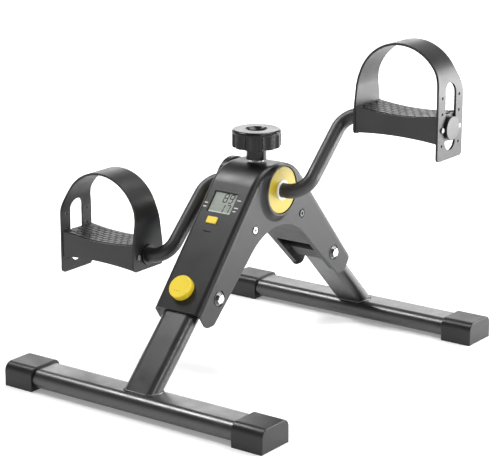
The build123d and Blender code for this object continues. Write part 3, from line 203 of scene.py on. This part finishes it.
def enamelled(name, colour, roughness, coat=0.5):
    """Stoved enamel on steel tube: orange peel, a fine grain and soft handling marks."""
    surface = Surface(name)
    drift = surface.noise(9.0, 3.0)
    surface.mottled(drift, tint(colour, 0.82), tint(colour, 1.2))
    handled = surface.noise(55.0, 5.0)
    surface.roughness(surface.spread(handled, roughness - 0.05, roughness + 0.07))
    surface.bump(surface.noise(300.0, 1.0), 0.000006)
    surface.bump(surface.noise(40.0, 1.0), 0.00003)
    surface.set(IOR=1.6)
    surface.set(Coat_Weight=coat, Coat_Roughness=0.24, Coat_IOR=1.5)
    return surface.material


def turned_metal(name, colour, roughness, stain=0.12):
    """Plated or turned steel: fine drawn lines under cloudy plating."""
    surface = Surface(name)
    cloud = surface.noise(120.0, 4.0)
    surface.mottled(cloud, tint(colour, 1 - stain), tint(colour, 1 + stain))
    lines = surface.noise(160.0, 3.0, surface.stretched(DRAWN_LINES))
    surface.roughness(surface.spread(lines, roughness * 0.75, roughness * 1.35))
    surface.bump(lines, 0.00001)
    surface.set(Metallic=1.0)
    return surface.material


def pressed_felt(name):
    surface = Surface(name)
    fibres = surface.noise(1500.0, 6.0, surface.stretched((1.0, 0.35, 1.0)))
    surface.mottled(fibres, (0.2, 0.18, 0.15), (0.42, 0.4, 0.36))
    surface.bump(fibres, 0.0003)
    surface.set(Roughness=0.95, Sheen_Weight=0.5, Sheen_Roughness=0.5)
    return surface.material


def display_glass(name):
    """Reflective display: a slightly uneven grey-green with faint rows of unlit segments."""
    surface = Surface(name)
    cloud = surface.noise(40.0, 2.0)
    base = surface.mixed(surface.spread(cloud, 0.0, 1.0), (0.76, 0.84, 0.74), (0.86, 0.94, 0.84))
    grid = surface.add("ShaderNodeTexBrick")
    grid.inputs["Scale"].default_value = 260.0
    grid.inputs["Color1"].default_value = (1.0, 1.0, 1.0, 1.0)
    grid.inputs["Color2"].default_value = (0.97, 0.97, 0.97, 1.0)
    grid.inputs["Mortar"].default_value = (0.93, 0.93, 0.93, 1.0)
    grid.inputs["Mortar Size"].default_value = 0.03
    surface.link(surface.coords, grid.inputs["Vector"])
    product = surface.add("ShaderNodeMix")
    product.data_type = "RGBA"
    product.blend_type = "MULTIPLY"
    product.inputs["Factor"].default_value = 1.0
    surface.link(base, product.inputs["A"])
    surface.link(grid.outputs["Color"], product.inputs["B"])
    surface.colour(product.outputs["Result"])
    surface.roughness(surface.spread(surface.noise(300.0), 0.24, 0.34))
    return surface.material


def clear_window(name):
    """Moulded clear window: nearly all see-through, with a soft gloss and hair scratches."""
    surface = Surface(name)
    scratches = surface.noise(500.0, 5.0, surface.stretched((1.0, 0.06, 1.0)))
    surface.mottled(scratches, (0.2, 0.22, 0.21), (0.3, 0.32, 0.31))
    surface.roughness(surface.spread(scratches, 0.05, 0.16, 0.45, 0.75))
    surface.set(Alpha=0.08, IOR=1.3)
    return surface.material


def solder_mask(name):
    """Green board with thin copper tracks under the mask."""
    surface = Surface(name)
    tracks = surface.add("ShaderNodeTexBrick")
    tracks.inputs["Scale"].default_value = 180.0
    tracks.inputs["Mortar Size"].default_value = 0.06
    tracks.inputs["Color1"].default_value = (0.015, 0.16, 0.06, 1.0)
    tracks.inputs["Color2"].default_value = (0.02, 0.2, 0.08, 1.0)
    tracks.inputs["Mortar"].default_value = (0.05, 0.32, 0.14, 1.0)
    surface.link(surface.coords, tracks.inputs["Vector"])
    surface.colour(tracks.outputs["Color"])
    surface.roughness(surface.spread(surface.noise(200.0), 0.22, 0.36))
    surface.bump(tracks.outputs["Fac"], 0.00003)
    return surface.material


def printed_ink(name, colour):
    """Pad-printed ink: slightly uneven cover with a matt bloom."""
    surface = Surface(name)
    cover = surface.noise(1800.0, 3.0)
    surface.mottled(cover, tint(colour, 0.8), tint(colour, 1.1))
    surface.roughness(surface.spread(cover, 0.45, 0.65))
    return surface.material


YELLOW = (0.80, 0.60, 0.03)

materials = {
    "shell_plastic": moulded("shell_plastic", (0.009, 0.009, 0.0095), 0.37, ior=1.44),
    "cover_plastic": moulded("cover_plastic", (0.011, 0.011, 0.0115), 0.46, grain=2.0, ior=1.44),
    "tube_steel": enamelled("tube_steel", (0.007, 0.007, 0.0075), 0.34),
    "cap_plastic": moulded("cap_plastic", (0.009, 0.009, 0.0095), 0.36, grain=1.4, ior=1.42),
    "tread_plastic": moulded("tread_plastic", (0.018, 0.018, 0.019), 0.4, grain=1.6, ior=1.45),
    "strap_plastic": moulded("strap_plastic", (0.009, 0.009, 0.0095), 0.38, grain=1.2, ior=1.4),
    "yellow_plastic": moulded("yellow_plastic", YELLOW, 0.34, grain=0.8, mottle=0.05),
    "white_acetal": moulded("white_acetal", (0.78, 0.78, 0.75), 0.3, grain=0.5, mottle=0.04),
    "black_acetal": moulded("black_acetal", (0.009, 0.009, 0.009), 0.34, grain=0.6),
    "knob_plastic": moulded("knob_plastic", (0.004, 0.004, 0.0045), 0.27, grain=0.9, ior=1.38),
    "chrome_steel": turned_metal("chrome_steel", (0.82, 0.82, 0.83), 0.13, stain=0.04),
    "bright_steel": turned_metal("bright_steel", (0.66, 0.66, 0.67), 0.26),
    "dark_steel": turned_metal("dark_steel", (0.11, 0.11, 0.115), 0.38),
    "spring_steel": turned_metal("spring_steel", (0.5, 0.5, 0.51), 0.3),
    "magnet": turned_metal("magnet", (0.6, 0.6, 0.62), 0.2),
    "pad_felt": pressed_felt("pad_felt"),
    "clear_lens": clear_window("clear_lens"),
    "lcd_glass": display_glass("lcd_glass"),
    "board_green": solder_mask("board_green"),
}
# Pieces that differ a little in finish from the rest of their slot
own_finish = {
    "crank_tube": enamelled("crank_enamel", (0.007, 0.007, 0.0075), 0.46, coat=0.05),
    "left_strap_screws": turned_metal("left_screw_steel", (0.16, 0.16, 0.165), 0.3),
    "right_strap_screws": turned_metal("right_screw_steel", (0.16, 0.16, 0.165), 0.3),
    "left_hub_disc": moulded("left_disc_yellow", tint(YELLOW, 0.52), 0.36, grain=0.8, mottle=0.05),
    "right_hub_disc": moulded("right_disc_yellow", tint(YELLOW, 0.52), 0.36, grain=0.8, mottle=0.05),
}
ink_white = printed_ink("ink_white", (0.62, 0.62, 0.6))
ink_dark = printed_ink("ink_dark", (0.012, 0.013, 0.013))
ink_ochre = printed_ink("ink_ochre", (0.30, 0.19, 0.01))

# ---------------------------------------------------------------- carried-over CAD nodes

EDGE_WIDTH = {
    "body_shell": 0.45,
    "under_cover": 0.3,
    "front_foot_bar": 0.15,
    "rear_foot_bar": 0.15,
    "front_leg_tube": 0.15,
    "rear_leg_tube": 0.15,
    "tension_knob": 0.5,
    "pivot_bolts": 0.35,
    "left_tread": 0.2,
    "right_tread": 0.2,
    "left_toe_strap": 0.5,
    "right_toe_strap": 0.5,
    "crank_tube": 0.1,
}
PLAIN_EDGE = 0.18
UNBEVELLED = ("front_lock_spring", "rear_lock_spring", "display_window", "lcd_panel")
EDGE_ANGLE = math.radians(32)
EDGE_SEGMENTS = 2
WELD_DISTANCE = 1e-6
FLAT_ANGLE = math.radians(0.3)
NORMAL_WEIGHT = 80
NORMAL_THRESHOLD = 0.02


def soften(obj, width):
    """Small rounded edges with smooth faces between them, as modifiers."""
    for polygon in obj.data.polygons:
        polygon.use_smooth = True
    weld = obj.modifiers.new("weld", "WELD")
    weld.merge_threshold = WELD_DISTANCE
    flat = obj.modifiers.new("flat", "DECIMATE")
    flat.decimate_type = "DISSOLVE"
    flat.angle_limit = FLAT_ANGLE
    bevel = obj.modifiers.new("edge", "BEVEL")
    bevel.width = width * MM
    bevel.segments = EDGE_SEGMENTS
    bevel.limit_method = "ANGLE"
    bevel.angle_limit = EDGE_ANGLE
    bevel.use_clamp_overlap = True
    normals = obj.modifiers.new("normals", "WEIGHTED_NORMAL")
    normals.weight = NORMAL_WEIGHT
    normals.thresh = NORMAL_THRESHOLD


slot_of = {row["node"]: row["material_slot"] for row in frame["record"]["subparts"]}
for node_name, node in nodes.items():
    node.data.materials.clear()
    node.data.materials.append(own_finish.get(node_name, materials[slot_of[node_name]]))
    if node_name not in UNBEVELLED:
        soften(node, EDGE_WIDTH.get(node_name, PLAIN_EDGE))

# ---------------------------------------------------------------- mesh helpers


def add_mesh(name, mesh_data, body, material, smooth=False):
    """Makes an object of a bmesh, gives it a material and rides it on a body."""
    mesh = bpy.data.meshes.new(name)
    bmesh.ops.recalc_face_normals(mesh_data, faces=mesh_data.faces)
    mesh_data.to_mesh(mesh)
    mesh_data.free()
    for polygon in mesh.polygons:
        polygon.use_smooth = smooth
    obj = bpy.data.objects.new(name, mesh)
    bpy.context.scene.collection.objects.link(obj)
    mesh.materials.append(material)
    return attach(obj, body)


def add_prism(mesh_data, outline, place, low, high):
    """A flat outline given thickness between two heights of a local frame."""
    rings = []
    for height in (low, high):
        rings.append([mesh_data.verts.new(place @ Vector((x, y, height))) for x, y in outline])
    mesh_data.faces.new(rings[0])
    mesh_data.faces.new(rings[1])
    count = len(outline)
    for i in range(count):
        j = (i + 1) % count
        mesh_data.faces.new((rings[0][i], rings[0][j], rings[1][j], rings[1][i]))


def rounded_bar(cx, cy, width, height, steps=5):
    """Outline of a bar with fully rounded ends along x."""
    radius = height / 2
    points = []
    for end, start in ((1, -90), (-1, 90)):
        for i in range(steps + 1):
            angle = math.radians(start + 180 * i / steps)
            x = cx + end * (width / 2 - radius) + radius * math.cos(angle)
            points.append((x, cy + radius * math.sin(angle)))
    return points


# ---------------------------------------------------------------- counter face

WEB_ANGLE = math.radians(49.4)


def web_frame(centre, side):
    """Local frame on a web: x across, y up the slope, z out of the housing. Side is -1 in front."""
    out = Vector((0.0, side * math.sin(WEB_ANGLE), math.cos(WEB_ANGLE)))
    across = Vector((-side, 0.0, 0.0))
    up = out.cross(across)
    turn = Matrix((across, up, out)).transposed().to_4x4()
    return Matrix.Translation(centre) @ turn


def centre_of(node_name):
    """Middle of a node's box."""
    low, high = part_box(node_name)
    return (low + high) / 2


LCD_THICKNESS = 2.2 * MM
WINDOW_THICKNESS = 1.5 * MM
WINDOW_RECESS = 0.5 * MM

lcd_place = web_frame(centre_of("lcd_panel"), -1)
lcd_face = LCD_THICKNESS / 2
web_face = lcd_face + WINDOW_THICKNESS + WINDOW_RECESS

# Which of the seven bars each figure lights: top, two upper, middle, two lower, bottom
FIGURE_BARS = {
    "1": (0, 0, 1, 0, 0, 1, 0),
    "7": (1, 0, 1, 0, 0, 1, 0),
    "8": (1, 1, 1, 1, 1, 1, 1),
    "9": (1, 1, 1, 1, 0, 1, 1),
}
FIGURE_ROWS = ((1.5 * MM, "89"), (-13.1 * MM, "17"))
FIGURE_START = -1.8 * MM
FIGURE_PITCH = 8.4 * MM
FIGURE_WIDTH = 5.4 * MM
FIGURE_HEIGHT = 11.6 * MM
BAR_WIDTH = 1.4 * MM
SLANT = 0.10
BAR_GAP = 0.05
BAR_SHOULDER = 0.5
INK_SINK = 0.02 * MM
INK_RISE = 0.1 * MM


def figure_bar(x0, y0, x1, y1, origin):
    """Outline of one pointed display bar between two points, slanted like the figure."""
    start, end = Vector((x0, y0)), Vector((x1, y1))
    along = (end - start).normalized()
    side = Vector((-along.y, along.x)) * BAR_WIDTH / 2
    gap = along * BAR_WIDTH * BAR_GAP
    shoulder = along * BAR_WIDTH * BAR_SHOULDER
    corners = [start + gap, start + shoulder + side, end - shoulder + side, end - gap,
               end - shoulder - side, start + shoulder - side]
    return [(origin[0] + c.x + SLANT * c.y, origin[1] + c.y) for c in corners]


def add_figure(mesh_data, figure, origin):
    """The lit bars of one figure, with its lower left corner at the origin."""
    w, h = FIGURE_WIDTH, FIGURE_HEIGHT
    bars = ((0, h, w, h), (0, h / 2, 0, h), (w, h / 2, w, h), (0, h / 2, w, h / 2),
            (0, 0, 0, h / 2), (w, 0, w, h / 2), (0, 0, w, 0))
    for lit, bar in zip(FIGURE_BARS[figure], bars):
        if lit:
            outline = figure_bar(*bar, origin)
            add_prism(mesh_data, outline, lcd_place, lcd_face - INK_SINK, lcd_face + INK_RISE)


figures = bmesh.new()
for row_base, text in FIGURE_ROWS:
    for place, figure in enumerate(text):
        add_figure(figures, figure, (FIGURE_START + FIGURE_PITCH * place, row_base))
add_mesh("display_figures", figures, "housing", ink_dark)


def add_frame_strip(mesh_data, outer, inner, place, low, high):
    """A rectangular ring between two half sizes."""
    ow, oh = outer
    iw, ih = inner
    for outline in (
        [(-ow, ih), (ow, ih), (ow, oh), (-ow, oh)],
        [(-ow, -oh), (ow, -oh), (ow, -ih), (-ow, -ih)],
        [(-ow, -ih), (-iw, -ih), (-iw, ih), (-ow, ih)],
        [(iw, -ih), (ow, -ih), (ow, ih), (iw, ih)],
    ):
        add_prism(mesh_data, outline, place, low, high)


# A thin dark ring round the display's edge: painted shade standing for the shadow in the gap where the
# display sits below the window
SHADE_RING_OUTER = (17.7 * MM, 14.7 * MM)
SHADE_RING_INNER = (16.9 * MM, 13.9 * MM)
SHADE_RING_RISE = 0.12 * MM

shade_ring = bmesh.new()
add_frame_strip(shade_ring, SHADE_RING_OUTER, SHADE_RING_INNER, lcd_place,
                lcd_face - INK_SINK, lcd_face + SHADE_RING_RISE)
add_mesh("display_shade_ring", shade_ring, "housing", ink_dark)

# Plain printed marks beside the display: x, y and width in millimetres
MARKS = ((23.2, 6.0, 6.2), (23.2, -4.6, 6.2), (22.6, -9.4, 5.0), (-23.4, -3.6, 5.4), (-23.4, -9.0, 5.4))
MARK_HEIGHT = 1.5 * MM
PRINT_SINK = 0.05 * MM
PRINT_RISE = 0.03 * MM

marks = bmesh.new()
for mark_x, mark_y, mark_width in MARKS:
    outline = rounded_bar(mark_x * MM, mark_y * MM, mark_width * MM, MARK_HEIGHT)
    add_prism(marks, outline, lcd_place, web_face - PRINT_SINK, web_face + PRINT_RISE)
add_mesh("counter_marks", marks, "housing", ink_white)

# ---------------------------------------------------------------- lock button dashes

LOCK_TOP_RISE = 8.6 * MM
LOCK_X = -3.5 * MM
LOCK_ALONG = 29.0 * MM
WEB_FOOT = (168.5 * MM, 112.0 * MM)
DASH_PITCH = 3.6 * MM
DASH_SHIFT = -1.2 * MM
DASH_Y = -6.4 * MM
DASH_SIZE = (1.9 * MM, 0.8 * MM)
DASH_END_STEPS = 4
SIDES = (("front", -1), ("rear", 1))

for side_name, side in SIDES:
    foot_y = side * (WEB_FOOT[0] - LOCK_ALONG * math.cos(WEB_ANGLE))
    foot_z = WEB_FOOT[1] + LOCK_ALONG * math.sin(WEB_ANGLE)
    lock_place = web_frame(Vector((LOCK_X, foot_y, foot_z)), side)
    dashes = bmesh.new()
    for dash in (-1, 0, 1):
        outline = rounded_bar(dash * DASH_PITCH + DASH_SHIFT, DASH_Y, *DASH_SIZE, DASH_END_STEPS)
        add_prism(dashes, outline, lock_place, LOCK_TOP_RISE - PRINT_SINK, LOCK_TOP_RISE + PRINT_RISE)
    add_mesh(f"{side_name}_lock_dashes", dashes, f"{side_name}_lock", ink_ochre)

# ---------------------------------------------------------------- tension screw thread

SCREW_RADIUS = 4.0 * MM
THREAD_PITCH = 1.25 * MM
THREAD_DEPTH = 0.65 * MM
THREAD_SIDES = 32
THREAD_ROWS_PER_TURN = 8


def threaded_rod(low, high):
    """A rod with a helical thread: each ring's radius follows a rounded V along the helix."""
    rows = round((high - low) / THREAD_PITCH * THREAD_ROWS_PER_TURN)
    mesh_data = bmesh.new()
    rings = []
    for row in range(rows + 1):
        z = low + (high - low) * row / rows
        ring = []
        for i in range(THREAD_SIDES):
            phase = (z - low) / THREAD_PITCH - i / THREAD_SIDES
            depth = 0.5 + 0.5 * math.cos(2 * math.pi * phase)
            radius = SCREW_RADIUS - THREAD_DEPTH * depth
            angle = 2 * math.pi * i / THREAD_SIDES
            ring.append(mesh_data.verts.new((radius * math.cos(angle), radius * math.sin(angle), z)))
        rings.append(ring)
    for a, b in zip(rings, rings[1:]):
        for i in range(THREAD_SIDES):
            j = (i + 1) % THREAD_SIDES
            mesh_data.faces.new((a[i], a[j], b[j], b[i]))
    mesh_data.faces.new(rings[0])
    mesh_data.faces.new(rings[-1])
    return mesh_data


screw_low, screw_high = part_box("tension_screw")
rod = threaded_rod(screw_low.z, screw_high.z)
thread = add_mesh("tension_thread", rod, "knob", materials["bright_steel"], smooth=True)
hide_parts("tension_screw")

# ---------------------------------------------------------------- weld beads where the legs meet the bars

PIVOT = (127.5 * MM, 123.0 * MM)
LEG_ANGLE = math.radians(45)
LEG_OFFSET = 7.0 * MM
LEG_SIZE = (49.0 * MM, 22.0 * MM)
BEAD_RADIUS = 1.7 * MM
BEAD_POINTS = 96
BEAD_SIDES = 8
BEAD_NEAR = 0.08
BEAD_FAR = 0.2
BEAD_HALVINGS = 30


def oval_point(turn, size):
    """Point round a flat oval, by share of its perimeter."""
    radius = size[1] / 2
    straight = size[0] - size[1]
    arc = math.pi * radius
    run = turn % 1.0 * 2 * (straight + arc)
    if run < straight:
        return run - straight / 2, radius
    run -= straight
    if run < arc:
        angle = math.pi / 2 - run / radius
        return straight / 2 + radius * math.cos(angle), radius * math.sin(angle)
    run -= arc
    if run < straight:
        return straight / 2 - run, -radius
    run -= straight
    angle = -math.pi / 2 - run / radius
    return -straight / 2 + radius * math.cos(angle), radius * math.sin(angle)


def bar_gap(y, z, bar_centre, bar_size):
    """Distance from a point to the bar's surface, less than 0 inside."""
    half = (bar_size[0] - bar_size[1]) / 2
    dy = max(abs(y - bar_centre[0]) - half, 0.0)
    return math.hypot(dy, z - bar_centre[1]) - bar_size[1] / 2


def bead_path(side, bar_name):
    """Points where a leg's outside meets its bar."""
    low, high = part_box(bar_name)
    bar_centre = ((low.y + high.y) / 2, (low.z + high.z) / 2)
    bar_size = (high.y - low.y, high.z - low.z)
    down = Vector((0.0, side * math.cos(LEG_ANGLE), -math.sin(LEG_ANGLE)))
    out = Vector((0.0, side * math.sin(LEG_ANGLE), math.cos(LEG_ANGLE)))
    pivot = Vector((0.0, side * PIVOT[0], PIVOT[1]))
    points = []
    for i in range(BEAD_POINTS):
        x, across = oval_point(i / BEAD_POINTS, LEG_SIZE)
        base = pivot + Vector((x, 0, 0)) + out * (LEG_OFFSET + across)
        near, far = BEAD_NEAR, BEAD_FAR
        for _ in range(BEAD_HALVINGS):
            middle = (near + far) / 2
            at = base + down * middle
            if bar_gap(at.y, at.z, bar_centre, bar_size) > 0:
                near = middle
            else:
                far = middle
        points.append(base + down * near)
    return points


def closed_bead(points, radius):
    """A closed tube along points, with the ripples of a laid weld."""
    mesh_data = bmesh.new()
    count = len(points)
    rings = []
    centre = sum(points, Vector()) / count
    for i, point in enumerate(points):
        tangent = (points[(i + 1) % count] - points[i - 1]).normalized()
        outward = (point - centre) - tangent * (point - centre).dot(tangent)
        outward.normalize()
        up = tangent.cross(outward)
        swell = radius * (1 + 0.09 * math.sin(i * 2.1) + 0.05 * math.sin(i * 0.63))
        ring = []
        for k in range(BEAD_SIDES):
            angle = 2 * math.pi * k / BEAD_SIDES
            spoke = math.cos(angle) * outward + math.sin(angle) * up
            ring.append(mesh_data.verts.new(point + swell * spoke))
        rings.append(ring)
    for i in range(count):
        a, b = rings[i], rings[(i + 1) % count]
        for k in range(BEAD_SIDES):
            m = (k + 1) % BEAD_SIDES
            mesh_data.faces.new((a[k], a[m], b[m], b[k]))
    return mesh_data


for side_name, side in SIDES:
    bead = closed_bead(bead_path(side, f"{side_name}_foot_bar"), BEAD_RADIUS)
    piece = add_mesh(f"{side_name}_weld_bead", bead, f"{side_name}_leg", materials["tube_steel"], smooth=True)

# ---------------------------------------------------------------- studio

FLOOR_SIZE = 40.0
FLOOR_NEAR = 0.45
FLOOR_FAR = 2.6

# Each light's name, place, aim, width, height and watts
SOFTBOXES = (
    ("right_softbox", (1.25, 1.35, 0.5), (0.0, 0.0, 0.15), 1.5, 1.0, 52.0),
    ("top_softbox", (0.5, 0.9, 2.3), (0.0, 0.0, 0.1), 1.6, 1.2, 40.0),
    ("leg_softbox", (-1.1, -0.3, 1.75), (0.0, -0.15, 0.1), 0.6, 0.45, 21.0),
    ("back_softbox", (-1.2, 1.65, 0.85), (0.0, 0.0, 0.25), 1.7, 0.6, 8.5),
    ("corner_strip", (1.52, -0.5, 1.35), (0.0, -0.05, 0.2), 0.1, 1.1, 7.0),
)


def make_floor():
    """A pale flat studio floor that glows softly away from the object, with a faint unevenness."""
    mesh_data = bmesh.new()
    bmesh.ops.create_grid(mesh_data, x_segments=1, y_segments=1, size=FLOOR_SIZE / 2)
    mesh = bpy.data.meshes.new("studio_floor")
    mesh_data.to_mesh(mesh)
    mesh_data.free()
    floor = bpy.data.objects.new("studio_floor", mesh)
    bpy.context.scene.collection.objects.link(floor)
    surface = Surface("floor_white")
    cloud = surface.noise(1.5, 2.0)
    surface.mottled(cloud, (0.88, 0.88, 0.88), (0.92, 0.92, 0.92))
    distance = surface.add("ShaderNodeVectorMath")
    distance.operation = "LENGTH"
    surface.link(surface.coords, distance.inputs[0])
    glow = surface.spread(distance.outputs["Value"], 0.22, 1.0, FLOOR_NEAR, FLOOR_FAR)
    surface.link(glow, surface.shader.inputs["Emission Strength"])
    surface.set(Roughness=0.6, Emission_Color=(1.0, 1.0, 1.0, 1.0))
    mesh.materials.append(surface.material)


def make_world():
    """Soft studio surround: white at the horizon and darker overhead."""
    world = bpy.data.worlds.new("studio")
    bpy.context.scene.world = world
    world.use_nodes = True
    tree = world.node_tree
    coords = tree.nodes.new("ShaderNodeTexCoord")
    split = tree.nodes.new("ShaderNodeSeparateXYZ")
    tree.links.new(coords.outputs["Generated"], split.inputs["Vector"])
    ramp = tree.nodes.new("ShaderNodeValToRGB")
    ramp.color_ramp.elements[0].position = 0.1
    ramp.color_ramp.elements[0].color = (1.0, 1.0, 1.0, 1.0)
    ramp.color_ramp.elements[1].position = 0.42
    ramp.color_ramp.elements[1].color = (0.22, 0.22, 0.225, 1.0)
    tree.links.new(split.outputs["Z"], ramp.inputs["Fac"])
    background = tree.nodes["Background"]
    background.inputs["Strength"].default_value = 1.0
    tree.links.new(ramp.outputs["Color"], background.inputs["Color"])


def add_softbox(name, location, aim, width, height, energy):
    """A rectangular area light that faces a point."""
    light = bpy.data.lights.new(name, "AREA")
    light.shape = "RECTANGLE"
    light.size = width
    light.size_y = height
    light.energy = energy
    lamp = bpy.data.objects.new(name, light)
    lamp.location = location
    lamp.rotation_euler = (Vector(location) - Vector(aim)).to_track_quat("Z", "Y").to_euler()
    bpy.context.scene.collection.objects.link(lamp)


make_floor()
make_world()
for softbox in SOFTBOXES:
    add_softbox(*softbox)

bpy.context.scene.view_settings.view_transform = "Standard"
